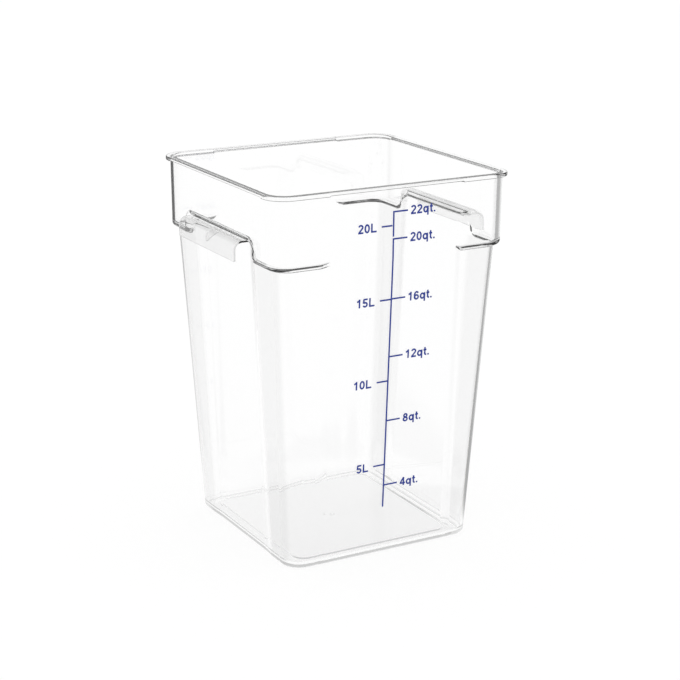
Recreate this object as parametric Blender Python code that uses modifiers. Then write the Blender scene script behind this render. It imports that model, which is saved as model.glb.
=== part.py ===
"""A clear, square food storage tub with two moulded grips and a printed capacity scale.

The tub is one moulding. Its wall is a loft of closed sections: a base that stands on a foot
ring, four corner columns, two panels that run up flush into the collar, two panels set back
for the hands, a ledge that the next tub in a stack rests on, the collar and its rim.
Metres, Z up. X runs across the scale, Y from the scale to the back, and the origin is the
middle of the base.
"""

from collections import namedtuple
from math import cos, pi, radians, sin, tan

import bmesh
import bpy
from mathutils import Vector

# Overall sizes of the moulding
TUB_HEIGHT = 0.400
COLLAR_WIDTH = 0.2716
COLLAR_DEPTH = 0.2594
COLLAR_HEIGHT = 0.0770
COLLAR_RADIUS = 0.0195
WALL = 0.003
WELD_DISTANCE = 0.00001

# Drafts that let the moulding leave its mould
COLLAR_DRAFT = radians(0.5)
SIDE_DRAFT = radians(3.16)
FRONT_DRAFT = radians(2.35)

# Corner columns: how much of a side and of the front each takes, and how far the ledge sets them in
SIDE_COLUMN_WIDTH = 0.0707
FRONT_COLUMN_WIDTH = 0.0585
SIDE_LEDGE = 0.0066
FRONT_LEDGE = 0.0044
LEDGE_RADIUS = 0.003
LEDGE_SLOPE = 0.0006
LEDGE_FILLET = 0.0012
COLUMN_TOP_RADIUS = 0.0165
COLUMN_BASE_RADIUS = 0.021

# Front and back panels, flush with the collar, where the ledge rises and ends
PANEL_RAMP = 0.012
PANEL_BASE_STEP = 0.0005
LEDGE_END_RISE = 0.003

# Side panels, set back for the hands, and the notch in the collar over each of them
HAND_PANEL_RAMP = 0.012
HAND_PANEL_RECESS = 0.0033
HAND_PANEL_BASE_RECESS = 0.0010
NOTCH_MARGIN = 0.007
NOTCH_HEIGHT = 0.0195
NOTCH_RADIUS = 0.010
NOTCH_FOOT = 0.0025

# Base, which stands on a foot ring round a raised middle
BASE_RADIUS = 0.004
INNER_BASE_RADIUS = 0.006
FOOT_RING_WIDTH = 0.018
FOOT_RING_HEIGHT = 0.0016
FOOT_RING_RAMP = 0.006
RAISED_FLOOR_RADIUS = 0.012

# Rim, whose skirt reaches lower at the corners
RIM_OVERHANG = 0.0048
RIM_THICKNESS = 0.0034
RIM_ROUNDING = 0.0012
RIM_FILLET = 0.0008
SKIRT_DROP = 0.0010

# Grips: a hood on each hand panel, open below and at both ends, with a gusset in its middle
GRIP_CLEARANCE = 0.012
GRIP_REACH = 0.0138
GRIP_DROP = 0.0205
GRIP_RADIUS = 0.0090
GRIP_THICKNESS = 0.0020
GRIP_ROOT = 0.005
GUSSET_THICKNESS = 0.002
GUSSET_DROP = 0.013
GUSSET_ROOT_DROP = 0.0028

# Printed scale: how thick the print is and where its line and marks lie, up the tub's whole height
INK_GAP = 0.0003
INK_THICKNESS = 0.0003
SCALE_X = -0.0026
LINE_WIDTH = 0.0018
LINE_BREAK = 0.0015
MARK_WIDTH = 0.0018
MARK_GAP = 0.0004
QUART_MARK_LENGTH = 0.0150
LITRE_MARK_LENGTH = 0.0125
LINE_BOTTOM_SHARE = 0.1325
QUART_SHARES = {22: 0.932, 20: 0.8625, 16: 0.706, 12: 0.551, 8: 0.3755, 4: 0.1945}
LITRE_SHARES = {20: 0.897, 15: 0.705, 10: 0.4855, 5: 0.253}
TOP_QUARTS = 22
BREAK_QUARTS = 20

# Looks of the two materials
CLEAR_COLOUR = (0.93, 0.94, 0.94)
CLEAR_ROUGHNESS = 0.06
CLEAR_ALPHA_SHARE = 0.28
INK_COLOUR = (0.03, 0.06, 0.36)
INK_ROUGHNESS = 0.45

# How finely the round stretches are divided
CORNER_STEPS = 6
NOTCH_STEPS = 3
FOOT_STEPS = 2
BASE_STEPS = 3
LEDGE_STEPS = 3
GRIP_STEPS = 6

# Shares of the ledge's width, from the collar in, between which it is a plain shelf
SHELF_SHARES = (0.45, 0.85)

# Shares along the front panel's ramp and along a side column's flat; the skirt ends at one of them
RAMP_SHARES = (0.0, 0.3, 0.55, 0.6, 0.8, 1.0)
RAMP_SKIRT_SHARE = 0.55
FLAT_SHARES = (0.92, 0.95)
FLAT_SKIRT_SHARE = 0.95

# Heights and half widths that follow from the sizes
LEDGE_Z = TUB_HEIGHT - COLLAR_HEIGHT
NOTCH_Z = LEDGE_Z + NOTCH_HEIGHT
FLUSH_Z = LEDGE_Z + LEDGE_END_RISE
PANEL_HALF = COLLAR_WIDTH / 2 - FRONT_COLUMN_WIDTH - PANEL_RAMP / 2
HAND_PANEL_HALF = COLLAR_DEPTH / 2 - SIDE_COLUMN_WIDTH
NOTCH_HALF = HAND_PANEL_HALF + HAND_PANEL_RAMP + NOTCH_MARGIN

# One place round a quarter of the tub, from the middle of a side to the middle of the front or back
Station = namedtuple("Station", "face collar_along body_along flat ramp ledge_z skirt")


def smooth(share):
    """A share that leaves 0 and reaches 1 without a corner."""
    return share * share * (3 - 2 * share)


def mix(start, end, share):
    return start + (end - start) * share


def collar_half(z):
    """Half the collar's width and depth at a height."""
    draft = (TUB_HEIGHT - z) * tan(COLLAR_DRAFT)
    return Vector((COLLAR_WIDTH / 2 - draft, COLLAR_DEPTH / 2 - draft))


def column_half(z):
    """Half the width and depth over the corner columns at a height."""
    top = collar_half(LEDGE_Z) - Vector((SIDE_LEDGE, FRONT_LEDGE))
    below = LEDGE_Z - z
    return top - Vector((below * tan(SIDE_DRAFT), below * tan(FRONT_DRAFT)))


def column_radius(z):
    return mix(COLUMN_BASE_RADIUS, COLUMN_TOP_RADIUS, z / LEDGE_Z)


def panel_face(z):
    """How far the front panel lies from the middle, flush with the collar at the top of the body."""
    step = mix(PANEL_BASE_STEP, FRONT_LEDGE, z / LEDGE_Z)
    return min(column_half(z).y + step, collar_half(z).y)


def hand_panel_face(z):
    return column_half(z).x - mix(HAND_PANEL_BASE_RECESS, HAND_PANEL_RECESS, z / LEDGE_Z)


def arc(centre, radius, start, end, steps):
    """Points round an arc, both ends included."""
    points = []
    for step in range(steps + 1):
        angle = mix(start, end, step / steps)
        points.append(centre + Vector((cos(angle), sin(angle))) * radius)
    return points


def notch_outline(grown):
    """The collar's lower edge over a hand panel, as (along, height), for a notch grown by a distance."""
    half = NOTCH_HALF + grown
    radius = NOTCH_RADIUS + grown
    ceiling = NOTCH_Z + grown
    ledge = LEDGE_Z + grown
    shoulder = arc(Vector((half - radius, ceiling - radius)), radius, pi / 2, 0, NOTCH_STEPS)
    foot = arc(Vector((half + NOTCH_FOOT, ledge + NOTCH_FOOT)), NOTCH_FOOT, pi, 3 * pi / 2, FOOT_STEPS)
    return [Vector((0, ceiling))] + shoulder + foot


def stations(grown):
    """The places round a quarter of a skin that lies a distance inside the outer one."""
    places = []
    ramp_end = HAND_PANEL_HALF + HAND_PANEL_RAMP
    outline = notch_outline(grown)
    for index, point in enumerate(outline):
        ramp = min(max((index - 1) / NOTCH_STEPS, 0), 1)
        beyond = max(index - 1 - NOTCH_STEPS, 0) / (FOOT_STEPS + 1)
        lead = (NOTCH_HALF + NOTCH_FOOT - ramp_end) * beyond
        along = mix(HAND_PANEL_HALF, ramp_end, ramp) + lead
        if index == 0:
            along = 0
        places.append(Station("side", point.x, along, 0, ramp, point.y, False))
    ledge = LEDGE_Z + grown
    last = places[-1]
    for share in FLAT_SHARES:
        places.append(last._replace(flat=share, skirt=share >= FLAT_SKIRT_SHARE))
    for step in range(CORNER_STEPS + 1):
        angle = pi / 2 * step / CORNER_STEPS
        places.append(Station("corner", angle, angle, 0, 1, ledge, True))
    for share in RAMP_SHARES:
        along = PANEL_HALF + PANEL_RAMP * (1 - share)
        rise = LEDGE_END_RISE * smooth(share)
        skirt = share <= RAMP_SKIRT_SHARE
        places.append(Station("front", along, along, 0, smooth(share), ledge + rise, skirt))
    places.append(Station("front", 0, 0, 0, 1, ledge + LEDGE_END_RISE, False))
    return places


def corner_point(half, radius, angle):
    return half - Vector((radius, radius)) + Vector((cos(angle), sin(angle))) * radius


def collar_section(places, heights, inset):
    """The collar's plan, each point at its own height, moved in by a distance."""
    section = []
    for place, z in zip(places, heights):
        half = collar_half(z) - Vector((inset, inset))
        if place.face == "side":
            along = mix(place.collar_along, half.y + inset - COLLAR_RADIUS, place.flat)
            section.append(Vector((half.x, along, z)))
        elif place.face == "front":
            section.append(Vector((place.collar_along, half.y, z)))
        else:
            corner = corner_point(half, COLLAR_RADIUS - inset, place.collar_along)
            section.append(Vector((corner.x, corner.y, z)))
    return section


def moved_in(points, distance):
    """Plan points moved towards the middle by a distance, with mitred corners."""
    moved = []
    for index, point in enumerate(points):
        before = Vector((0, 1)) if index == 0 else (point - points[index - 1]).normalized()
        after = Vector((-1, 0)) if index == len(points) - 1 else (points[index + 1] - point).normalized()
        normal = Vector((-before.y, before.x))
        mitre = (normal + Vector((-after.y, after.x))).normalized()
        moved.append(point + mitre * (distance / mitre.dot(normal)))
    return moved


def body_section(places, heights, inset):
    """The body's plan, each point at its own height, moved in by a distance."""
    plan = []
    for place, z in zip(places, heights):
        half = column_half(z)
        if place.face == "side":
            along = mix(place.body_along, half.y - column_radius(z), place.flat)
            plan.append(Vector((mix(hand_panel_face(z), half.x, place.ramp), along)))
        elif place.face == "front":
            plan.append(Vector((place.body_along, mix(half.y, panel_face(z), place.ramp))))
        else:
            plan.append(corner_point(half, column_radius(z), place.body_along))
    return [Vector((point.x, point.y, z)) for point, z in zip(moved_in(plan, inset), heights)]


def floor_section(places, outward, z):
    """The raised floor's rounded outline, moved out by a distance."""
    base = column_half(0)
    half = Vector((hand_panel_face(0), panel_face(0)))
    half -= Vector((FOOT_RING_WIDTH, FOOT_RING_WIDTH)) - Vector((outward, outward))
    radius = RAISED_FLOOR_RADIUS + outward
    side_share = (half.y - radius) / (base.y - COLUMN_BASE_RADIUS)
    front_share = (half.x - radius) / (base.x - COLUMN_BASE_RADIUS)
    section = []
    for place in places:
        if place.face == "side":
            along = mix(place.body_along * side_share, half.y - radius, place.flat)
            section.append(Vector((half.x, along, z)))
        elif place.face == "front":
            section.append(Vector((place.body_along * front_share, half.y, z)))
        else:
            corner = corner_point(half, radius, place.body_along)
            section.append(Vector((corner.x, corner.y, z)))
    return section


def level(places, z):
    return [z] * len(places)


def base_sections(places, inset, floor_z, radius):
    """The rows of a floor and of the rounding that turns it up into the body."""
    rows = [
        floor_section(places, 0, floor_z + FOOT_RING_HEIGHT),
        floor_section(places, FOOT_RING_RAMP, floor_z),
    ]
    for step in range(BASE_STEPS + 1):
        angle = pi / 2 * step / BASE_STEPS
        heights = level(places, floor_z + radius * (1 - cos(angle)))
        rows.append(body_section(places, heights, inset + radius * (1 - sin(angle))))
    return rows


def ledge_profile():
    """The ledge's underside, from the column out, as (share of its width from the collar, height)."""
    outer, inner = SHELF_SHARES
    fillet = []
    rounding = []
    for step in range(LEDGE_STEPS + 1):
        angle = pi / 2 * step / LEDGE_STEPS
        fillet.append((mix(inner, 1, cos(angle)), -LEDGE_SLOPE / 2 - LEDGE_FILLET * (1 - sin(angle))))
        rounding.append((outer * (1 - sin(angle)), LEDGE_SLOPE / 2 + LEDGE_RADIUS * (1 - cos(angle))))
    return fillet + rounding


def ledge_sections(places, inset):
    """The rows that turn the body out into the collar, from below upwards."""
    rows = []
    for width, rise in ledge_profile():
        heights = [place.ledge_z + rise for place in places]
        collar = collar_section(places, heights, inset)
        body = body_section(places, heights, inset)
        rows.append([mix(outer, inner, width) for outer, inner in zip(collar, body)])
    return rows


def rim_sections(places):
    """The rows over the rim, from the collar's outside to its inside."""
    under = [TUB_HEIGHT - RIM_THICKNESS - SKIRT_DROP * place.skirt for place in places]
    top = level(places, TUB_HEIGHT)
    edge = RIM_OVERHANG - RIM_ROUNDING
    half_way = RIM_ROUNDING * sin(pi / 4)
    rows = [
        (0, [z - RIM_FILLET for z in under]),
        (RIM_FILLET, under),
        (edge, under),
        (edge + half_way, [z + RIM_ROUNDING - half_way for z in under]),
        (RIM_OVERHANG, [z + RIM_ROUNDING for z in under]),
        (RIM_OVERHANG, [z - RIM_ROUNDING for z in top]),
        (edge + half_way, [z - RIM_ROUNDING + half_way for z in top]),
        (edge, top),
        (RIM_ROUNDING - WALL, top),
        (-WALL, [z - RIM_ROUNDING for z in top]),
    ]
    return [collar_section(places, heights, -outward) for outward, heights in rows]


def tub_rows():
    """Every row of the tub's quarter, from the middle of its underside over the rim to its floor."""
    outer = stations(0)
    inner = stations(WALL)
    rows = base_sections(outer, 0, 0, BASE_RADIUS)
    rows += ledge_sections(outer, 0)
    rows += rim_sections(outer)
    rows += reversed(ledge_sections(inner, WALL))
    rows += reversed(base_sections(inner, WALL, WALL, INNER_BASE_RADIUS))
    return rows


def clear_scene():
    for obj in list(bpy.data.objects):
        bpy.data.objects.remove(obj)


def make_collection(name):
    collection = bpy.data.collections.new(name)
    bpy.context.scene.collection.children.link(collection)
    return collection


def make_material(name, colour, roughness, alpha):
    material = bpy.data.materials.new(name)
    material.use_nodes = True
    shader = material.node_tree.nodes["Principled BSDF"]
    shader.inputs["Base Color"].default_value = (*colour, 1)
    shader.inputs["Roughness"].default_value = roughness
    shader.inputs["Metallic"].default_value = 0
    shader.inputs["Alpha"].default_value = alpha
    return material


def make_object(name, mesh, collection, material):
    mesh.materials.append(material)
    obj = bpy.data.objects.new(name, mesh)
    collection.objects.link(obj)
    return obj


def make_helper(name, mesh, collection, material):
    """An object that another one is joined with, which isn't rendered."""
    helper = make_object(name, mesh, collection, material)
    helper.hide_render = True
    helper.display_type = "WIRE"
    return helper


def mesh_of(name, faces):
    """A mesh of faces given as lists of points, with equal points merged."""
    shape = bmesh.new()
    for points in faces:
        shape.faces.new([shape.verts.new(point) for point in points])
    bmesh.ops.remove_doubles(shape, verts=shape.verts, dist=WELD_DISTANCE)
    mesh = bpy.data.meshes.new(name)
    shape.to_mesh(mesh)
    shape.free()
    return mesh


def add_mirror(obj, across_x, across_y):
    mirror = obj.modifiers.new("Mirror", "MIRROR")
    mirror.use_axis = (across_x, across_y, False)
    mirror.merge_threshold = WELD_DISTANCE


def add_thickness(obj, thickness, side):
    solidify = obj.modifiers.new("Thickness", "SOLIDIFY")
    solidify.thickness = thickness
    solidify.offset = side
    solidify.use_even_offset = True


def add_union(obj, helper):
    union = obj.modifiers.new("Join " + helper.name, "BOOLEAN")
    union.operation = "UNION"
    union.object = helper


def build_tub(collection, material):
    """The moulding's quarter, open on both planes of symmetry and mirrored over them."""
    rows = tub_rows()
    shape = bmesh.new()
    grid = [[shape.verts.new(point) for point in row] for row in rows]
    for lower, upper in zip(grid, grid[1:]):
        for index in range(len(lower) - 1):
            shape.faces.new((lower[index], lower[index + 1], upper[index + 1], upper[index]))
    underside = shape.verts.new((0, 0, rows[0][0].z))
    floor = shape.verts.new((0, 0, rows[-1][0].z))
    shape.faces.new([underside] + list(reversed(grid[0])))
    shape.faces.new([floor] + grid[-1])
    mesh = bpy.data.meshes.new("tub")
    shape.to_mesh(mesh)
    shape.free()
    tub = make_object("tub", mesh, collection, material)
    add_mirror(tub, True, True)
    return tub


def grip_profile(depth):
    """The hood's section, as (x, z), a distance below its outer surface: root, arch and leg."""
    top = NOTCH_Z + (WALL + GRIP_THICKNESS) / 2
    wall = collar_half(NOTCH_Z).x
    outside = wall + GRIP_REACH
    centre = Vector((outside - GRIP_RADIUS, top - GRIP_RADIUS))
    arch = arc(centre, GRIP_RADIUS - depth, pi / 2, 0, GRIP_STEPS)
    return [Vector((wall - GRIP_ROOT, top - depth))] + arch, top


def build_hoods(collection, material):
    profile, top = grip_profile(0)
    profile.append(Vector((profile[-1].x, top - GRIP_DROP)))
    end = NOTCH_HALF - GRIP_CLEARANCE
    faces = []
    for start, stop in zip(profile, profile[1:]):
        near = [(start.x, -end, start.y), (stop.x, -end, stop.y)]
        far = [(stop.x, end, stop.y), (start.x, end, start.y)]
        faces.append(near + far)
    hoods = make_helper("grip_hoods", mesh_of("grip_hoods", faces), collection, material)
    add_thickness(hoods, GRIP_THICKNESS, -1)
    add_mirror(hoods, True, False)
    return hoods


def build_gussets(collection, material):
    """A plate in the middle of each hood, from its ceiling to its leg."""
    profile, top = grip_profile(GRIP_THICKNESS / 2)
    leg_inside = profile[-1].x - GRIP_THICKNESS
    low = top - GUSSET_DROP
    profile.append(Vector((profile[-1].x, low)))
    profile.append(Vector((leg_inside, low)))
    profile.append(Vector((profile[0].x, top - GUSSET_ROOT_DROP)))
    face = [(point.x, 0, point.y) for point in profile]
    gussets = make_helper("grip_gussets", mesh_of("grip_gussets", [face]), collection, material)
    add_thickness(gussets, GUSSET_THICKNESS, 0)
    add_mirror(gussets, True, False)
    return gussets


def print_face(z):
    """Where the print lies on the front, a little way off the plastic."""
    surface = collar_half(z).y if z > FLUSH_Z else panel_face(z)
    return -surface - INK_GAP


def printed_strip(left, right, heights):
    """Faces of a strip of print that follows the front from one height to the next."""
    faces = []
    for low, high in zip(heights, heights[1:]):
        faces.append(
            [
                (left, print_face(low), low),
                (right, print_face(low), low),
                (right, print_face(high), high),
                (left, print_face(high), high),
            ]
        )
    return faces


def build_print(name, faces, collection, material):
    ink = make_object(name, mesh_of(name, faces), collection, material)
    add_thickness(ink, INK_THICKNESS, 1)
    return ink


def build_line(collection, material):
    """The long line, in two runs with a break over one of the quart marks."""
    left = SCALE_X - LINE_WIDTH / 2
    right = SCALE_X + LINE_WIDTH / 2
    bottom = TUB_HEIGHT * LINE_BOTTOM_SHARE
    break_z = TUB_HEIGHT * QUART_SHARES[BREAK_QUARTS] + MARK_WIDTH / 2
    top = TUB_HEIGHT * QUART_SHARES[TOP_QUARTS] + MARK_WIDTH / 2
    lower = printed_strip(left, right, (bottom, FLUSH_Z, break_z))
    upper = printed_strip(left, right, (break_z + LINE_BREAK, top))
    build_print("scale_line_lower", lower, collection, material)
    build_print("scale_line_upper", upper, collection, material)


def build_marks(unit, shares, start, end, collection, material):
    """One printed mark for each share of the height, named for the amount it shows."""
    for amount, share in shares.items():
        z = TUB_HEIGHT * share
        faces = printed_strip(start, end, (z - MARK_WIDTH / 2, z + MARK_WIDTH / 2))
        build_print(f"{unit}_mark_{amount}", faces, collection, material)


def main():
    clear_scene()
    parts = make_collection("food_storage_container")
    helpers = make_collection("helpers")
    clear_plastic = make_material("clear_plastic", CLEAR_COLOUR, CLEAR_ROUGHNESS, CLEAR_ALPHA_SHARE)
    blue_ink = make_material("blue_ink", INK_COLOUR, INK_ROUGHNESS, 1)

    tub = build_tub(parts, clear_plastic)
    add_union(tub, build_hoods(helpers, clear_plastic))
    add_union(tub, build_gussets(helpers, clear_plastic))

    build_line(parts, blue_ink)
    right = SCALE_X + LINE_WIDTH / 2 + MARK_GAP
    left = SCALE_X - LINE_WIDTH / 2 - MARK_GAP
    build_marks("quart", QUART_SHARES, right, right + QUART_MARK_LENGTH, parts, blue_ink)
    build_marks("litre", LITRE_SHARES, left - LITRE_MARK_LENGTH, left, parts, blue_ink)


main()
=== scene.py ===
"""The looks of a clear, square food storage tub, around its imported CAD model.

The moulding is lofted again with fine, smooth turns, because clear plastic shows every facet.
The scale's line, marks, numbers and unit letters lie on its front as print. Metres, Z up.
"""

from collections import namedtuple
from math import cos, pi, radians, sin, tan

import bmesh
import bpy
from mathutils import Matrix, Vector
from mathutils.geometry import delaunay_2d_cdt


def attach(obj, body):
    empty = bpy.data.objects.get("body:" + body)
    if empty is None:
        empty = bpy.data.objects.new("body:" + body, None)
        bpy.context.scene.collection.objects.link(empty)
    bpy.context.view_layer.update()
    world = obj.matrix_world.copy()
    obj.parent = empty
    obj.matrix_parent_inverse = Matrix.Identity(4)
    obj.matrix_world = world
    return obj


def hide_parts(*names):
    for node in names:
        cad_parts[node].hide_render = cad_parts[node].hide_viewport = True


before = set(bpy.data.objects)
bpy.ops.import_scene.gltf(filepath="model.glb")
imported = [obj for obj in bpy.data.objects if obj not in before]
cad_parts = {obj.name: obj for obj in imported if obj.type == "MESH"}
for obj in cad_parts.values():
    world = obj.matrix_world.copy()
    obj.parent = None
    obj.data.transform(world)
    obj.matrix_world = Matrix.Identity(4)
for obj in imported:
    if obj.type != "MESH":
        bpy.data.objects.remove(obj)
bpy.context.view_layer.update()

# Overall sizes of the moulding
TUB_HEIGHT = 0.400
COLLAR_WIDTH = 0.2716
COLLAR_DEPTH = 0.2594
COLLAR_HEIGHT = 0.0770
COLLAR_RADIUS = 0.0195
COLLAR_INNER_RADIUS = 0.0190
WALL = 0.003
WELD_DISTANCE = 0.00001

# Drafts that let the moulding leave its mould
COLLAR_DRAFT = radians(0.5)
SIDE_DRAFT = radians(3.16)
FRONT_DRAFT = radians(2.35)

# Corner columns: how much of a side and of the front each takes, and how far the ledge sets them in
SIDE_COLUMN_WIDTH = 0.0787
FRONT_COLUMN_WIDTH = 0.0585
SIDE_LEDGE = 0.0066
FRONT_LEDGE = 0.0044
LEDGE_RADIUS = 0.0045
LEDGE_SLOPE = 0.0006
LEDGE_FILLET = 0.0012
COLUMN_TOP_RADIUS = 0.0165
COLUMN_BASE_RADIUS = 0.021

# Front and back panels, flush with the collar, where the ledge rises and ends
PANEL_RAMP = 0.012
PANEL_BASE_STEP = 0.0005
LEDGE_END_RISE = 0.003

# Side panels, set back for the hands, and the notch in the collar over each of them
HAND_PANEL_RAMP = 0.020
HAND_PANEL_RECESS = 0.0033
HAND_PANEL_BASE_RECESS = 0.0010
NOTCH_MARGIN = 0.007
NOTCH_HEIGHT = 0.0195
NOTCH_RADIUS = 0.010
NOTCH_FOOT = 0.0025

# Base, which stands on a foot ring round a raised middle
BASE_RADIUS = 0.004
INNER_BASE_RADIUS = 0.006
FOOT_RING_WIDTH = 0.018
FOOT_RING_HEIGHT = 0.0016
FOOT_RING_RAMP = 0.006
RAISED_FLOOR_RADIUS = 0.012
GATE_RADIUS = 0.003
GATE_HEIGHT = 0.0009

# Rim, whose skirt reaches lower at the corners
RIM_OVERHANG = 0.0048
RIM_THICKNESS = 0.0034
RIM_ROUNDING = 0.0012
RIM_FILLET = 0.0008
SKIRT_DROP = 0.0010

# Grips: a hood on each hand panel, open below and at both ends, with a gusset in its middle
GRIP_CLEARANCE = 0.012
GRIP_REACH = 0.0138
GRIP_DROP = 0.0205
GRIP_RADIUS = 0.0090
GRIP_THICKNESS = 0.0020
GRIP_EDGE = 0.0005
GRIP_ROOT = 0.005
GUSSET_THICKNESS = 0.002
GUSSET_DROP = 0.013
GUSSET_ROOT_DROP = 0.0028

# Printed scale: how far the print stands off the plastic and where it lies
INK_LIFT = 0.0002
INK_THICKNESS = 0.0001
SCALE_X = -0.0029
LINE_WIDTH = 0.0018
LINE_BREAK = 0.0015
MARK_WIDTH = 0.0017
QUART_MARK_LENGTH = 0.0155
LITRE_MARK_LENGTH = 0.0125
LITRE_MARK_GAP = 0.0004
LINE_BOTTOM_SHARE = 0.1325
QUART_SHARES = {22: 0.932, 20: 0.8625, 16: 0.706, 12: 0.551, 8: 0.3755, 4: 0.1945}
LITRE_SHARES = {20: 0.897, 15: 0.705, 10: 0.4855, 5: 0.253}
TOP_QUARTS = 22
BREAK_QUARTS = 20
QUART_LABEL_X = 0.0170
LITRE_LABEL_END_X = -0.0224

# Plain sans-serif letters, in shares of a digit's height: the pen's width and how far each one advances
DIGIT_HEIGHT = 0.0093
PEN = 0.195
BOW_STEPS = 14
DIGIT_ADVANCE = 0.777
ADVANCES = {"q": 0.853, "t": 0.465, "L": 0.853, ".": 0.388}
CDT_INSIDE_ONLY = 1
CDT_EPSILON = 1e-7

# How finely the round stretches are divided
CORNER_STEPS = 16
NOTCH_STEPS = 10
FOOT_STEPS = 5
BASE_STEPS = 8
GRIP_STEPS = 16
LEDGE_STEPS = 6
RIM_STEPS = 5
RING_STEPS = 4
PANEL_STEPS = 10
GATE_SIDES = 24
CREASE_ANGLE = radians(32)

# Shares of the ledge's width, from the collar in, between which it is a plain shelf
SHELF_SHARES = (0.75, 0.90)

# Share of a side column's flat at which the skirt begins, and of the panel's ramp at which it ends
FLAT_SKIRT_SHARES = (0.92, 0.95)
RAMP_SKIRT_SHARE = 0.55

# Heights and half widths that follow from the sizes
LEDGE_Z = TUB_HEIGHT - COLLAR_HEIGHT
NOTCH_Z = LEDGE_Z + NOTCH_HEIGHT
FLUSH_Z = LEDGE_Z + LEDGE_END_RISE
PANEL_HALF = COLLAR_WIDTH / 2 - FRONT_COLUMN_WIDTH - PANEL_RAMP / 2
HAND_PANEL_HALF = COLLAR_DEPTH / 2 - SIDE_COLUMN_WIDTH
NOTCH_HALF = HAND_PANEL_HALF + HAND_PANEL_RAMP + NOTCH_MARGIN

# The photograph's camera, found from the rim, collar and base lines in it
IMAGE_SIZE = 680
FOCAL_PIXELS = 1772.03
CENTRE_PIXEL = (332.45, 340.85)
CAMERA_AZIMUTH = -0.50823
CAMERA_ELEVATION = 0.2913
CAMERA_ROLL = 0.00388
CAMERA_DISTANCE = 1.91802
CAMERA_TARGET = Vector((0, 0, 0.20434))
SENSOR_MM = 36

# Colours
WHITE = (1, 1, 1, 1)
BLACK = (0, 0, 0, 1)
PLASTIC_COLOUR = (0.995, 0.995, 0.995, 1)
INK_COLOUR = (0.055, 0.090, 0.46, 1)

# Plastic: its slow waves, its faint haze, and its painted shade, a greyer colour in the side columns' flats,
# whose faces turn sideways by this share and more, and in the grips, out beyond the collar
PLASTIC_IOR = 1.50
WAVE_SCALE = 5.0
WAVE_STRENGTH = 0.01
WAVE_DEPTH = 0.002
HAZE_SCALE = 55.0
HAZE_ROUGHNESS = 0.03
COLUMN_PAINTED_SHADE = 0.085
COLUMN_PAINTED_SHADE_Y = (HAND_PANEL_HALF + HAND_PANEL_RAMP * 0.6, HAND_PANEL_HALF + HAND_PANEL_RAMP * 1.1)
COLUMN_FACING = (0.75, 0.97)
GRIP_PAINTED_SHADE = 0.12
GRIP_X = 0.1365
GRIP_Z = 0.360

# Painted light: a white glow put on the plastic as emission, on rays after this many reflections inside
# it: in the grips, and by height, a lot over the white floor and none at the ledge
PAINTED_GLOW_REFLECTIONS = 4
GRIP_PAINTED_GLOW = 0.75
PAINTED_GLOW_BY_HEIGHT = ((0.0, 0.55), (0.012, 0.80), (0.265, 0.80), (0.300, 0.0), (0.392, 0.0), (0.398, 0.15))

# Ink: how fine the unevenness of its cover is, and how far it takes the colour down and up
INK_SCALE = 900.0
INK_TONES = (0.8, 1.2)

# Floor: its full brightness, and how much of that the tub's shadow can take away
FLOOR_RADIUS = 20.0
FLOOR_SIDES = 96
FLOOR_DROP = 0.0002
FLOOR_LEVEL = 1.01
FLOOR_SHADOW = 0.09

# Dark flags that stand beside the tub and show only in its reflections: azimuth in degrees from
# +x, the cosines of their edge's start and end, and their tones near the tub and far from it
FLAGS = ((0, 0.78, 0.97, 0.40, 0.45), (92, 0.94, 0.985, 0.75, 0.50))
FLAG_NEAR = 0.7
FLAG_FAR = 1.1

# Dark ceiling, in reflections and through the plastic: the heights of a ray's direction at which
# it begins and is full, and its tone
CEILING_MIRRORED = (0.31, 0.45, 0.50)
CEILING_THROUGH = (0.00, 0.12, 0.03)

# More reflections than a ray can have
MOST_REFLECTIONS = 100.0

Station = namedtuple("Station", "face collar_along body_along flat ramp ledge_z skirt")


def smooth(share):
    """A share that leaves 0 and reaches 1 without a corner."""
    return share * share * (3 - 2 * share)


def mix(start, end, share):
    return start + (end - start) * share


def collar_half(z):
    """Half the collar's width and depth at a height."""
    draft = (TUB_HEIGHT - z) * tan(COLLAR_DRAFT)
    return Vector((COLLAR_WIDTH / 2 - draft, COLLAR_DEPTH / 2 - draft))


def column_half(z):
    """Half the width and depth over the corner columns at a height."""
    top = collar_half(LEDGE_Z) - Vector((SIDE_LEDGE, FRONT_LEDGE))
    below = LEDGE_Z - z
    return top - Vector((below * tan(SIDE_DRAFT), below * tan(FRONT_DRAFT)))


def column_radius(z):
    return mix(COLUMN_BASE_RADIUS, COLUMN_TOP_RADIUS, z / LEDGE_Z)


def panel_face(z):
    """How far the front panel lies from the middle, flush with the collar at the top of the body."""
    step = mix(PANEL_BASE_STEP, FRONT_LEDGE, z / LEDGE_Z)
    return min(column_half(z).y + step, collar_half(z).y)


def hand_panel_face(z):
    return column_half(z).x - mix(HAND_PANEL_BASE_RECESS, HAND_PANEL_RECESS, z / LEDGE_Z)


def arc(centre, radius, start, end, steps):
    """Points round an arc, both ends included."""
    points = []
    for step in range(steps + 1):
        angle = mix(start, end, step / steps)
        points.append(centre + Vector((cos(angle), sin(angle))) * radius)
    return points


def notch_outline(grown):
    """The collar's lower edge over a hand panel, as (along, height), for a notch grown by a distance."""
    half = NOTCH_HALF + grown
    radius = NOTCH_RADIUS + grown
    ceiling = NOTCH_Z + grown
    ledge = LEDGE_Z + grown
    shoulder = arc(Vector((half - radius, ceiling - radius)), radius, pi / 2, 0, NOTCH_STEPS)
    foot = arc(Vector((half + NOTCH_FOOT, ledge + NOTCH_FOOT)), NOTCH_FOOT, pi, 3 * pi / 2, FOOT_STEPS)
    return [Vector((0, ceiling))] + shoulder + foot


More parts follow.
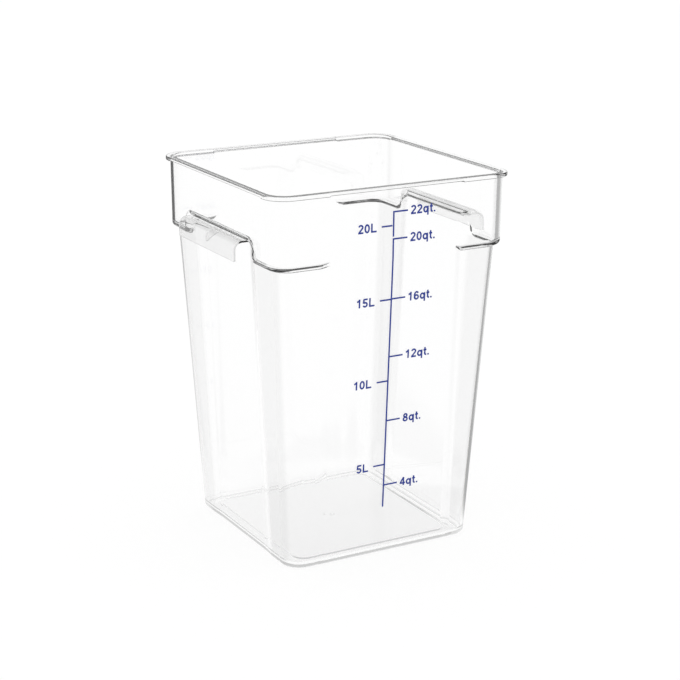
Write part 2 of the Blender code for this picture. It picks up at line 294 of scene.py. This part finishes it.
def stations(grown):
    """The places round a quarter of a skin that lies a distance inside the outer one."""
    places = []
    ramp_end = HAND_PANEL_HALF + HAND_PANEL_RAMP
    for index, point in enumerate(notch_outline(grown)):
        ramp = min(max((index - 1) / NOTCH_STEPS, 0), 1)
        beyond = max(index - 1 - NOTCH_STEPS, 0) / (FOOT_STEPS + 1)
        lead = (NOTCH_HALF + NOTCH_FOOT - ramp_end) * beyond
        along = mix(HAND_PANEL_HALF, ramp_end, ramp) + lead
        if index == 0:
            along = 0
        places.append(Station("side", point.x, along, 0, smooth(ramp), point.y, False))
    ledge = LEDGE_Z + grown
    last = places[-1]
    for share in FLAT_SKIRT_SHARES:
        places.append(last._replace(flat=share, skirt=share == FLAT_SKIRT_SHARES[-1]))
    for step in range(CORNER_STEPS + 1):
        angle = pi / 2 * step / CORNER_STEPS
        places.append(Station("corner", angle, angle, 0, 1, ledge, True))
    for step in range(PANEL_STEPS + 1):
        share = step / PANEL_STEPS
        along = PANEL_HALF + PANEL_RAMP * (1 - share)
        rise = LEDGE_END_RISE * smooth(share)
        skirt = share <= RAMP_SKIRT_SHARE
        places.append(Station("front", along, along, 0, smooth(share), ledge + rise, skirt))
    places.append(Station("front", 0, 0, 0, 1, ledge + LEDGE_END_RISE, False))
    return places


def corner_point(half, radius, angle):
    return half - Vector((radius, radius)) + Vector((cos(angle), sin(angle))) * radius


def collar_section(places, heights, inset):
    """The collar's plan, each point at its own height, moved in by a distance."""
    radius = COLLAR_RADIUS - inset
    if inset > 0:
        radius = mix(COLLAR_RADIUS, COLLAR_INNER_RADIUS, inset / WALL)
    section = []
    for place, z in zip(places, heights):
        half = collar_half(z) - Vector((inset, inset))
        if place.face == "side":
            along = mix(place.collar_along, half.y - radius, place.flat)
            section.append(Vector((half.x, along, z)))
        elif place.face == "front":
            section.append(Vector((place.collar_along, half.y, z)))
        else:
            corner = corner_point(half, radius, place.collar_along)
            section.append(Vector((corner.x, corner.y, z)))
    return section


def moved_in(points, distance):
    """Plan points moved towards the middle by a distance, with mitred corners."""
    moved = []
    for index, point in enumerate(points):
        before = Vector((0, 1)) if index == 0 else (point - points[index - 1]).normalized()
        after = Vector((-1, 0)) if index == len(points) - 1 else (points[index + 1] - point).normalized()
        normal = Vector((-before.y, before.x))
        mitre = (normal + Vector((-after.y, after.x))).normalized()
        moved.append(point + mitre * (distance / mitre.dot(normal)))
    return moved


def body_section(places, heights, inset):
    """The body's plan, each point at its own height, moved in by a distance."""
    plan = []
    for place, z in zip(places, heights):
        half = column_half(z)
        if place.face == "side":
            along = mix(place.body_along, half.y - column_radius(z), place.flat)
            plan.append(Vector((mix(hand_panel_face(z), half.x, place.ramp), along)))
        elif place.face == "front":
            plan.append(Vector((place.body_along, mix(half.y, panel_face(z), place.ramp))))
        else:
            plan.append(corner_point(half, column_radius(z), place.body_along))
    return [Vector((point.x, point.y, z)) for point, z in zip(moved_in(plan, inset), heights)]


def floor_section(places, outward, z):
    """The raised floor's rounded outline, moved out by a distance."""
    base = column_half(0)
    half = Vector((hand_panel_face(0), panel_face(0)))
    half -= Vector((FOOT_RING_WIDTH, FOOT_RING_WIDTH)) - Vector((outward, outward))
    radius = RAISED_FLOOR_RADIUS + outward
    side_share = (half.y - radius) / (base.y - COLUMN_BASE_RADIUS)
    front_share = (half.x - radius) / (base.x - COLUMN_BASE_RADIUS)
    section = []
    for place in places:
        if place.face == "side":
            along = mix(place.body_along * side_share, half.y - radius, place.flat)
            section.append(Vector((half.x, along, z)))
        elif place.face == "front":
            section.append(Vector((place.body_along * front_share, half.y, z)))
        else:
            corner = corner_point(half, radius, place.body_along)
            section.append(Vector((corner.x, corner.y, z)))
    return section


def level(places, z):
    return [z] * len(places)


def base_sections(places, inset, floor_z, radius):
    """The rows of a floor, down over its ring's ramp, and of the rounding that turns up into the body."""
    rows = []
    for step in range(RING_STEPS + 1):
        share = step / RING_STEPS
        z = floor_z + FOOT_RING_HEIGHT * (1 - smooth(share))
        rows.append(floor_section(places, FOOT_RING_RAMP * share, z))
    for step in range(BASE_STEPS + 1):
        angle = pi / 2 * step / BASE_STEPS
        heights = level(places, floor_z + radius * (1 - cos(angle)))
        rows.append(body_section(places, heights, inset + radius * (1 - sin(angle))))
    return rows


def ledge_profile():
    """The ledge's underside, from the column out, as (share of its width from the collar, height)."""
    outer, inner = SHELF_SHARES
    fillet = []
    rounding = []
    for step in range(LEDGE_STEPS + 1):
        angle = pi / 2 * step / LEDGE_STEPS
        fillet.append((mix(inner, 1, cos(angle)), -LEDGE_SLOPE / 2 - LEDGE_FILLET * (1 - sin(angle))))
        rounding.append((outer * (1 - sin(angle)), LEDGE_SLOPE / 2 + LEDGE_RADIUS * (1 - cos(angle))))
    return fillet + rounding


def ledge_sections(places, inset):
    """The rows that turn the body out into the collar, from below upwards."""
    rows = []
    for width, rise in ledge_profile():
        heights = [place.ledge_z + rise for place in places]
        collar = collar_section(places, heights, inset)
        body = body_section(places, heights, inset)
        rows.append([mix(outer, inner, width) for outer, inner in zip(collar, body)])
    return rows


def rim_sections(places):
    """The rows over the rim, from the collar's outside to its inside."""
    under = [TUB_HEIGHT - RIM_THICKNESS - SKIRT_DROP * place.skirt for place in places]
    top = level(places, TUB_HEIGHT)
    edge = RIM_OVERHANG - RIM_ROUNDING
    rows = []
    for step in range(RIM_STEPS + 1):
        angle = pi / 2 * step / RIM_STEPS
        out = RIM_FILLET * (1 - cos(angle))
        rows.append((out, [z - RIM_FILLET * (1 - sin(angle)) for z in under]))
    for step in range(RIM_STEPS + 1):
        angle = pi / 2 * step / RIM_STEPS
        rows.append((edge + RIM_ROUNDING * sin(angle), [z + RIM_ROUNDING * (1 - cos(angle)) for z in under]))
    for step in range(RIM_STEPS + 1):
        angle = pi / 2 * step / RIM_STEPS
        rows.append((edge + RIM_ROUNDING * cos(angle), [z - RIM_ROUNDING * (1 - sin(angle)) for z in top]))
    for step in range(RIM_STEPS + 1):
        angle = pi / 2 * step / RIM_STEPS
        out = RIM_ROUNDING * (1 - sin(angle)) - WALL
        rows.append((out, [z - RIM_ROUNDING * (1 - cos(angle)) for z in top]))
    return [collar_section(places, heights, -outward) for outward, heights in rows]


def tub_rows():
    """Every row of the tub's quarter, from the middle of its underside over the rim to its floor."""
    outer = stations(0)
    inner = stations(WALL)
    rows = base_sections(outer, 0, 0, BASE_RADIUS)
    rows += ledge_sections(outer, 0)
    rows += rim_sections(outer)
    rows += reversed(ledge_sections(inner, WALL))
    rows += reversed(base_sections(inner, WALL, WALL, INNER_BASE_RADIUS))
    return rows


def new_object(name, mesh):
    obj = bpy.data.objects.new(name, mesh)
    bpy.context.scene.collection.objects.link(obj)
    return obj


def mesh_of(name, faces):
    """A mesh of faces given as lists of points, with equal points merged."""
    shape = bmesh.new()
    for points in faces:
        shape.faces.new([shape.verts.new(point) for point in points])
    bmesh.ops.remove_doubles(shape, verts=shape.verts, dist=WELD_DISTANCE)
    mesh = bpy.data.meshes.new(name)
    shape.to_mesh(mesh)
    shape.free()
    return mesh


def add_mirror(obj, across_x, across_y):
    mirror = obj.modifiers.new("Mirror", "MIRROR")
    mirror.use_axis = (across_x, across_y, False)
    mirror.merge_threshold = WELD_DISTANCE


def add_thickness(obj, thickness, side):
    solidify = obj.modifiers.new("Thickness", "SOLIDIFY")
    solidify.thickness = thickness
    solidify.offset = side
    solidify.use_even_offset = True


def add_union(obj, helper):
    union = obj.modifiers.new("Join " + helper.name, "BOOLEAN")
    union.operation = "UNION"
    union.object = helper


def build_quarter():
    """The moulding's quarter, open on both planes of symmetry and mirrored over them."""
    rows = tub_rows()
    shape = bmesh.new()
    grid = [[shape.verts.new(point) for point in row] for row in rows]
    for lower, upper in zip(grid, grid[1:]):
        for index in range(len(lower) - 1):
            shape.faces.new((lower[index], lower[index + 1], upper[index + 1], upper[index]))
    underside = shape.verts.new((0, 0, rows[0][0].z))
    floor = shape.verts.new((0, 0, rows[-1][0].z))
    shape.faces.new([underside] + list(reversed(grid[0])))
    shape.faces.new([floor] + grid[-1])
    mesh = bpy.data.meshes.new("moulding")
    shape.to_mesh(mesh)
    shape.free()
    quarter = new_object("moulding", mesh)
    add_mirror(quarter, True, True)
    return quarter


def grip_profile(depth):
    """The hood's section, as (x, z), a distance below its outer surface: root, arch and leg."""
    top = NOTCH_Z + (WALL + GRIP_THICKNESS) / 2
    wall = collar_half(NOTCH_Z).x
    outside = wall + GRIP_REACH
    centre = Vector((outside - GRIP_RADIUS, top - GRIP_RADIUS))
    arch = arc(centre, GRIP_RADIUS - depth, pi / 2, 0, GRIP_STEPS)
    return [Vector((wall - GRIP_ROOT, top - depth))] + arch, top


def build_hoods():
    profile, top = grip_profile(0)
    profile.append(Vector((profile[-1].x, top - GRIP_DROP)))
    end = NOTCH_HALF - GRIP_CLEARANCE
    faces = []
    for start, stop in zip(profile, profile[1:]):
        near = [(start.x, -end, start.y), (stop.x, -end, stop.y)]
        far = [(stop.x, end, stop.y), (start.x, end, start.y)]
        faces.append(near + far)
    hoods = new_object("grip_hoods", mesh_of("grip_hoods", faces))
    add_thickness(hoods, GRIP_THICKNESS, -1)
    bevel = hoods.modifiers.new("Edges", "BEVEL")
    bevel.width = GRIP_EDGE
    bevel.segments = 2
    bevel.limit_method = "ANGLE"
    bevel.angle_limit = radians(60)
    add_mirror(hoods, True, False)
    return hoods


def build_gussets():
    """A plate in the middle of each hood, from its ceiling to its leg."""
    profile, top = grip_profile(GRIP_THICKNESS / 2)
    leg_inside = profile[-1].x - GRIP_THICKNESS
    low = top - GUSSET_DROP
    profile.append(Vector((profile[-1].x, low)))
    profile.append(Vector((leg_inside, low)))
    profile.append(Vector((profile[0].x, top - GUSSET_ROOT_DROP)))
    face = [(point.x, 0, point.y) for point in profile]
    gussets = new_object("grip_gussets", mesh_of("grip_gussets", [face]))
    add_thickness(gussets, GUSSET_THICKNESS, 0)
    add_mirror(gussets, True, False)
    return gussets


def build_gate():
    """The short stub where the plastic entered the mould, under the middle of the floor."""
    shape = bmesh.new()
    depth = GATE_HEIGHT + WALL / 2
    place = Matrix.Translation((0, 0, FOOT_RING_HEIGHT - GATE_HEIGHT + depth / 2))
    bmesh.ops.create_cone(
        shape,
        cap_ends=True,
        segments=GATE_SIDES,
        radius1=GATE_RADIUS * 0.8,
        radius2=GATE_RADIUS,
        depth=depth,
        matrix=place,
    )
    mesh = bpy.data.meshes.new("gate")
    shape.to_mesh(mesh)
    shape.free()
    return new_object("gate", mesh)


def finished(obj, name):
    """The object with its modifiers applied, smooth but for its creases, and flat where it is flat."""
    graph = bpy.context.evaluated_depsgraph_get()
    mesh = bpy.data.meshes.new_from_object(obj.evaluated_get(graph))
    shape = bmesh.new()
    shape.from_mesh(mesh)
    bmesh.ops.remove_doubles(shape, verts=shape.verts, dist=WELD_DISTANCE)
    bmesh.ops.recalc_face_normals(shape, faces=shape.faces)
    for face in shape.faces:
        face.smooth = True
    for edge in shape.edges:
        edge.smooth = len(edge.link_faces) == 2 and edge.calc_face_angle() < CREASE_ANGLE
    shape.to_mesh(mesh)
    shape.free()
    piece = new_object(name, mesh)
    normals = piece.modifiers.new("Flat faces stay flat", "WEIGHTED_NORMAL")
    normals.keep_sharp = True
    normals.weight = 100
    return piece


def build_tub():
    quarter = build_quarter()
    helpers = [build_hoods(), build_gussets(), build_gate()]
    for helper in helpers:
        add_union(quarter, helper)
    tub = finished(quarter, "clear_tub")
    for helper in helpers + [quarter]:
        bpy.data.objects.remove(helper)
    return tub


def print_face(z):
    """Where the print lies on the front, just off the plastic."""
    surface = collar_half(z).y if z > FLUSH_Z else panel_face(z)
    return -surface - INK_LIFT


def strip(left, right, heights):
    """Upright rectangles of print, as (x, z), from one height to the next."""
    return [
        [Vector((left, low)), Vector((right, low)), Vector((right, high)), Vector((left, high))]
        for low, high in zip(heights, heights[1:])
    ]


def scale_shapes():
    """The long line, with a break over one of the quart marks, and every mark."""
    left = SCALE_X - LINE_WIDTH / 2
    right = SCALE_X + LINE_WIDTH / 2
    half = MARK_WIDTH / 2
    bottom = TUB_HEIGHT * LINE_BOTTOM_SHARE
    break_z = TUB_HEIGHT * QUART_SHARES[BREAK_QUARTS] + half
    top = TUB_HEIGHT * QUART_SHARES[TOP_QUARTS] + half
    shapes = strip(left, right, (bottom, FLUSH_Z, break_z))
    shapes += strip(left, right, (break_z + LINE_BREAK, top))
    for share in QUART_SHARES.values():
        z = TUB_HEIGHT * share
        shapes += strip(right, right + QUART_MARK_LENGTH, (z - half, z + half))
    for share in LITRE_SHARES.values():
        z = TUB_HEIGHT * share
        end = left - LITRE_MARK_GAP if share == max(LITRE_SHARES.values()) else left
        shapes += strip(end - LITRE_MARK_LENGTH, end, (z - half, z + half))
    return shapes


def bow(x, y, across, up, start, end):
    """Points of an ellipse's arc between two angles in degrees."""
    points = []
    for step in range(BOW_STEPS + 1):
        angle = radians(mix(start, end, step / BOW_STEPS))
        points.append((x + across * cos(angle), y + up * sin(angle)))
    return points


def glyph_strokes():
    """The pen's paths of every character that the scale needs, one digit high."""
    return {
        "0": [bow(0.388, 0.50, 0.24, 0.41, 0, 360)],
        "1": [[(0.455, 0), (0.455, 1)], [(0.47, 0.93), (0.37, 0.82), (0.27, 0.755), (0.15, 0.715)]],
        "2": [bow(0.385, 0.70, 0.235, 0.21, 168, -32) + [(0.17, 0.13)], [(0.07, 0.085), (0.71, 0.085)]],
        "4": [[(0.52, 0), (0.52, 1)], [(0.48, 0.93), (0.12, 0.34)], [(0.03, 0.295), (0.74, 0.295)]],
        "5": [
            [(0.16, 0.91), (0.68, 0.91)],
            [(0.225, 0.93), (0.17, 0.46)],
            bow(0.375, 0.32, 0.245, 0.23, 140, -155),
        ],
        "6": [bow(0.39, 0.315, 0.24, 0.225, 0, 360), bow(0.40, 0.50, 0.25, 0.41, 38, 230)],
        "8": [bow(0.388, 0.73, 0.195, 0.18, 0, 360), bow(0.388, 0.295, 0.24, 0.205, 0, 360)],
        "q": [bow(0.385, 0.365, 0.235, 0.275, 0, 360), [(0.66, -0.27), (0.66, 0.73)]],
        "t": [
            [(0.215, 0.96)] + bow(0.37, 0.24, 0.155, 0.15, 180, 270) + [(0.42, 0.09)],
            [(0.03, 0.655), (0.42, 0.655)],
        ],
        "L": [[(0.19, 0), (0.19, 1)], [(0.12, 0.085), (0.79, 0.085)]],
        ".": [[(0.19, 0), (0.19, 0.19)]],
    }


def inked(path):
    """The quads that a flat pen leaves along a path, which is a loop if its ends meet."""
    points = [Vector(point) for point in path]
    closed = (points[0] - points[-1]).length < WELD_DISTANCE
    edges = []
    for index, point in enumerate(points):
        before = (point - points[index - 1]).normalized() if index else None
        after = (points[index + 1] - point).normalized() if index + 1 < len(points) else None
        if closed:
            before = before or (points[-1] - points[-2]).normalized()
            after = after or (points[1] - points[0]).normalized()
        before, after = before or after, after or before
        normal = Vector((-before.y, before.x))
        mitre = (normal + Vector((-after.y, after.x))).normalized()
        reach = mitre * (PEN / 2 / mitre.dot(normal))
        edges.append((point + reach, point - reach))
    return [[start[0], start[1], end[1], end[0]] for start, end in zip(edges, edges[1:])]


def label_shapes(words, z, start, end):
    """One label, centred on a height, that starts at one place or ends at another."""
    strokes = glyph_strokes()
    shapes = []
    place = 0
    for letter in words:
        for path in strokes[letter]:
            shapes += [[point + Vector((place, -0.5)) for point in shape] for shape in inked(path)]
        place += ADVANCES.get(letter, DIGIT_ADVANCE)
    across = [point.x * DIGIT_HEIGHT for shape in shapes for point in shape]
    shift = Vector((start - min(across) if end is None else end - max(across), z))
    return [[point * DIGIT_HEIGHT + shift for point in shape] for shape in shapes]


def build_print():
    """All of the print as one thin piece: the line, the marks, and their numbers and unit letters."""
    shapes = scale_shapes()
    for amount, share in QUART_SHARES.items():
        shapes += label_shapes(f"{amount}qt.", TUB_HEIGHT * share, QUART_LABEL_X, None)
    for amount, share in LITRE_SHARES.items():
        shapes += label_shapes(f"{amount}L", TUB_HEIGHT * share, None, LITRE_LABEL_END_X)
    points = [point for shape in shapes for point in shape]
    faces = []
    for shape in shapes:
        first = faces[-1][-1] + 1 if faces else 0
        faces.append(list(range(first, first + len(shape))))
    flat, _, triangles, _, _, sources = delaunay_2d_cdt(points, [], faces, CDT_INSIDE_ONLY, CDT_EPSILON)
    triangles = [triangle for triangle, source in zip(triangles, sources) if source]
    mesh = bpy.data.meshes.new("printed_scale")
    mesh.from_pydata([(point.x, print_face(point.y), point.y) for point in flat], [], triangles)
    ink = new_object("printed_scale", mesh)
    add_thickness(ink, INK_THICKNESS, -1)
    return ink


def node_maker(tree):
    """A function that adds a node of a kind to a tree and links or sets its inputs by name."""

    def make(kind, settings=None, **inputs):
        node = tree.nodes.new(kind)
        for key, value in (settings or {}).items():
            setattr(node, key, value)
        for key, value in inputs.items():
            socket = node.inputs[key.replace("_", " ")]
            if isinstance(value, bpy.types.NodeSocket):
                tree.links.new(value, socket)
            else:
                socket.default_value = value
        return node

    return make


def new_material(name):
    material = bpy.data.materials.new(name)
    material.use_nodes = True
    material.node_tree.nodes.clear()
    return material, node_maker(material.node_tree)


def set_inputs(tree, node, values):
    for key, value in values.items():
        if isinstance(value, bpy.types.NodeSocket):
            tree.links.new(value, node.inputs[key])
        else:
            node.inputs[key].default_value = value


def node_maths(tree, make):
    """A function that adds a maths node on one or two values or sockets and gives its result."""

    def maths(operation, first, second=0.0, clamped=False):
        node = make("ShaderNodeMath", {"operation": operation, "use_clamp": clamped})
        set_inputs(tree, node, {0: first, 1: second})
        return node.outputs[0]

    return maths


def clear_plastic():
    """Clear, glossy plastic with the slow waves of a moulded wall, with painted shade in its side columns
    and grips, and a painted glow.
    """
    material, make = new_material("clear_plastic")
    tree = material.node_tree
    maths = node_maths(tree, make)

    def eased(value, low, high):
        """0 up to one limit and 1 from another, with a smooth rise between them."""
        rise = make("ShaderNodeMapRange", {"interpolation_type": "SMOOTHSTEP"})
        set_inputs(tree, rise, {"Value": value, "From Min": low, "From Max": high})
        return rise.outputs["Result"]

    place = make("ShaderNodeTexCoord").outputs["Object"]
    waves = make("ShaderNodeTexNoise", Vector=place, Scale=WAVE_SCALE, Detail=1.0, Roughness=0.3)
    haze = make("ShaderNodeTexNoise", Vector=place, Scale=HAZE_SCALE, Detail=4.0, Roughness=0.6)
    bump = make("ShaderNodeBump", Height=waves.outputs["Fac"], Strength=WAVE_STRENGTH, Distance=WAVE_DEPTH)
    rough = make("ShaderNodeMapRange")
    set_inputs(tree, rough, {"Value": haze.outputs["Fac"], "To Min": 0.0, "To Max": HAZE_ROUGHNESS})

    along = make("ShaderNodeSeparateXYZ", Vector=place)
    facing = make("ShaderNodeSeparateXYZ", Vector=make("ShaderNodeNewGeometry").outputs["True Normal"])
    beyond = eased(maths("ABSOLUTE", along.outputs["Y"]), *COLUMN_PAINTED_SHADE_Y)
    sideways = eased(maths("ABSOLUTE", facing.outputs["X"]), *COLUMN_FACING)
    below = maths("LESS_THAN", along.outputs["Z"], LEDGE_Z)
    column = maths("MULTIPLY", maths("MULTIPLY", beyond, sideways), below)
    outside = maths("GREATER_THAN", maths("ABSOLUTE", along.outputs["X"]), GRIP_X)
    grip = maths("MULTIPLY", outside, maths("LESS_THAN", along.outputs["Z"], GRIP_Z))
    # Painted shade: the base colour is darkened in the side columns' flats below the ledge and in the grips
    painted_shade = maths("MAXIMUM", maths("MULTIPLY", column, COLUMN_PAINTED_SHADE), maths("MULTIPLY", grip, GRIP_PAINTED_SHADE))
    colour = make("ShaderNodeMix", {"data_type": "RGBA"})
    colour.inputs["A"].default_value = PLASTIC_COLOUR
    colour.inputs["B"].default_value = BLACK
    tree.links.new(painted_shade, colour.inputs["Factor"])

    # Painted light: white emission on rays after exactly this many reflections inside the plastic, in the
    # grips and by height
    depth = make("ShaderNodeLightPath").outputs["Glossy Depth"]
    fewest = maths("GREATER_THAN", depth, PAINTED_GLOW_REFLECTIONS - 0.5)
    most = maths("LESS_THAN", depth, PAINTED_GLOW_REFLECTIONS + 0.5)
    by_height = make("ShaderNodeValToRGB")
    tree.links.new(along.outputs["Z"], by_height.inputs["Fac"])
    stops = by_height.color_ramp.elements
    for index, (height, light) in enumerate(PAINTED_GLOW_BY_HEIGHT):
        stop = stops[index] if index < len(stops) else stops.new(height)
        stop.position = height
        stop.color = (light, light, light, 1)
    painted_glow = maths("MAXIMUM", maths("MULTIPLY", grip, GRIP_PAINTED_GLOW), by_height.outputs["Color"])
    shader = make("ShaderNodeBsdfPrincipled")
    set_inputs(tree, shader, {
        "Base Color": colour.outputs["Result"],
        "Roughness": rough.outputs["Result"],
        "IOR": PLASTIC_IOR,
        "Transmission Weight": 1.0,
        "Normal": bump.outputs["Normal"],
        "Emission Color": WHITE,
        "Emission Strength": maths("MULTIPLY", maths("MULTIPLY", fewest, most), painted_glow),
    })
    out = make("ShaderNodeOutputMaterial")
    tree.links.new(shader.outputs["BSDF"], out.inputs["Surface"])
    return material


def blue_ink():
    """Screen-printed ink, a little uneven in its cover."""
    material, make = new_material("blue_ink")
    tree = material.node_tree
    place = make("ShaderNodeTexCoord").outputs["Object"]
    cover = make("ShaderNodeTexNoise", Vector=place, Scale=INK_SCALE, Detail=3.0, Roughness=0.6)
    tone = make("ShaderNodeMapRange")
    set_inputs(tree, tone, {"Value": cover.outputs["Fac"], "To Min": INK_TONES[0], "To Max": INK_TONES[1]})
    colour = make("ShaderNodeMix", {"data_type": "RGBA", "blend_type": "MULTIPLY"})
    colour.inputs["Factor"].default_value = 1.0
    colour.inputs["A"].default_value = INK_COLOUR
    tree.links.new(tone.outputs["Result"], colour.inputs["B"])
    shader = make("ShaderNodeBsdfPrincipled")
    set_inputs(tree, shader, {
        "Base Color": colour.outputs["Result"],
        "Roughness": 0.45,
        "Specular IOR Level": 0.3,
    })
    out = make("ShaderNodeOutputMaterial")
    tree.links.new(shader.outputs["BSDF"], out.inputs["Surface"])
    return material


def reflected_share(make, maths):
    """1 for a view that was reflected on its way, also inside the plastic, and 0 for all else."""
    path = make("ShaderNodeLightPath")
    lit = maths("MULTIPLY", path.outputs["Diffuse Depth"], MOST_REFLECTIONS)
    return maths("SUBTRACT", path.outputs["Glossy Depth"], lit, clamped=True)


def flag_tone(tree, make, maths, direction, distance):
    """How bright the room is towards a direction at a distance, with its flags."""
    tone = 1.0
    for azimuth, start, end, near, far in FLAGS:
        level = make("ShaderNodeMapRange", {"interpolation_type": "SMOOTHSTEP"})
        set_inputs(tree, level, {
            "Value": distance,
            "From Min": FLAG_NEAR,
            "From Max": FLAG_FAR,
            "To Min": near,
            "To Max": far,
        })
        turn = radians(azimuth)
        dot = make("ShaderNodeVectorMath", {"operation": "DOT_PRODUCT"})
        set_inputs(tree, dot, {0: direction, 1: (cos(turn), sin(turn), 0)})
        shade = make("ShaderNodeMapRange", {"interpolation_type": "SMOOTHSTEP"})
        set_inputs(tree, shade, {
            "Value": dot.outputs["Value"],
            "From Min": start,
            "From Max": end,
            "To Min": 1.0,
            "To Max": level.outputs["Result"],
        })
        tone = maths("MULTIPLY", tone, shade.outputs["Result"])
    return tone


def build_floor():
    """A wide white floor that keeps the tub's soft shadow."""
    shape = bmesh.new()
    bmesh.ops.create_circle(shape, cap_ends=True, segments=FLOOR_SIDES, radius=FLOOR_RADIUS)
    mesh = bpy.data.meshes.new("floor")
    shape.to_mesh(mesh)
    shape.free()
    floor = new_object("floor", mesh)
    floor.location.z = -FLOOR_DROP
    material, make = new_material("white_floor")
    tree = material.node_tree
    maths = node_maths(tree, make)
    path = make("ShaderNodeLightPath")
    shown = maths("MAXIMUM", path.outputs["Is Camera Ray"], path.outputs["Is Transmission Ray"])
    lift = maths("MULTIPLY", shown, FLOOR_LEVEL - FLOOR_SHADOW)
    matt = make("ShaderNodeBsdfDiffuse", Color=(FLOOR_SHADOW, FLOOR_SHADOW, FLOOR_SHADOW, 1))
    glow = make("ShaderNodeEmission", Color=WHITE, Strength=lift)
    both = make("ShaderNodeAddShader")
    set_inputs(tree, both, {0: matt.outputs[0], 1: glow.outputs[0]})

    place = make("ShaderNodeTexCoord").outputs["Object"]
    outward = make("ShaderNodeVectorMath", {"operation": "NORMALIZE"})
    distance = make("ShaderNodeVectorMath", {"operation": "LENGTH"})
    tree.links.new(place, outward.inputs[0])
    tree.links.new(place, distance.inputs[0])
    tone = flag_tone(tree, make, maths, outward.outputs["Vector"], distance.outputs["Value"])
    mirrored = make("ShaderNodeEmission", Color=WHITE, Strength=tone)
    either = make("ShaderNodeMixShader", Fac=reflected_share(make, maths))
    set_inputs(tree, either, {1: both.outputs[0], 2: mirrored.outputs[0]})
    out = make("ShaderNodeOutputMaterial")
    tree.links.new(either.outputs[0], out.inputs["Surface"])
    mesh.materials.append(material)


def build_world():
    """A white studio, whose dark ceiling and flags show only in the plastic and through it."""
    world = bpy.data.worlds.new("studio")
    world.use_nodes = True
    bpy.context.scene.world = world
    tree = world.node_tree
    tree.nodes.clear()
    make = node_maker(tree)
    maths = node_maths(tree, make)
    place = make("ShaderNodeTexCoord").outputs["Generated"]
    parts = make("ShaderNodeSeparateXYZ", Vector=place)
    path = make("ShaderNodeLightPath")
    tones = []
    for start, end, dark in (CEILING_MIRRORED, CEILING_THROUGH):
        ceiling = make("ShaderNodeMapRange", {"interpolation_type": "SMOOTHSTEP"})
        set_inputs(tree, ceiling, {
            "Value": parts.outputs["Z"],
            "From Min": start,
            "From Max": end,
            "To Min": 1.0,
            "To Max": dark,
        })
        tones.append(ceiling.outputs["Result"])
    tone = maths("MULTIPLY", tones[0], flag_tone(tree, make, maths, place, FLAG_FAR))
    mirrored = make("ShaderNodeBackground", Color=WHITE, Strength=tone)
    through = make("ShaderNodeBackground", Color=WHITE, Strength=tones[1])
    plain = make("ShaderNodeBackground", Color=WHITE, Strength=1.0)
    is_through = path.outputs["Is Transmission Ray"]
    seen_through = maths("SUBTRACT", is_through, path.outputs["Diffuse Depth"], clamped=True)
    passed = make("ShaderNodeMixShader", Fac=seen_through)
    set_inputs(tree, passed, {1: plain.outputs[0], 2: through.outputs[0]})
    either = make("ShaderNodeMixShader", Fac=reflected_share(make, maths))
    set_inputs(tree, either, {1: passed.outputs[0], 2: mirrored.outputs[0]})
    out = make("ShaderNodeOutputWorld")
    tree.links.new(either.outputs[0], out.inputs["Surface"])


def build_camera():
    """The photograph's viewpoint, with its small roll and offset."""
    back = Vector((
        sin(CAMERA_AZIMUTH) * cos(CAMERA_ELEVATION),
        -cos(CAMERA_AZIMUTH) * cos(CAMERA_ELEVATION),
        sin(CAMERA_ELEVATION),
    ))
    right = (-back).cross(Vector((0, 0, 1))).normalized()
    up = right.cross(-back)
    rolled_right = right * cos(CAMERA_ROLL) + up * sin(CAMERA_ROLL)
    rolled_up = up * cos(CAMERA_ROLL) - right * sin(CAMERA_ROLL)
    turn = Matrix((rolled_right, rolled_up, back)).transposed().to_4x4()
    data = bpy.data.cameras.new("camera")
    data.sensor_width = SENSOR_MM
    data.lens = FOCAL_PIXELS / IMAGE_SIZE * SENSOR_MM
    data.shift_x = 0.5 - CENTRE_PIXEL[0] / IMAGE_SIZE
    data.shift_y = CENTRE_PIXEL[1] / IMAGE_SIZE - 0.5
    data.clip_end = FLOOR_RADIUS * 3
    camera = new_object("camera", data)
    camera.matrix_world = Matrix.Translation(CAMERA_TARGET + back * CAMERA_DISTANCE) @ turn
    bpy.context.scene.camera = camera


def main():
    tub = build_tub()
    tub.data.materials.append(clear_plastic())
    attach(tub, "root")
    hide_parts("tub")

    ink = build_print()
    ink.data.materials.append(blue_ink())
    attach(ink, "root")
    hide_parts(*[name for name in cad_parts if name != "tub"])

    build_floor()
    build_world()
    build_camera()
    bpy.context.scene.view_settings.view_transform = "Standard"


main()
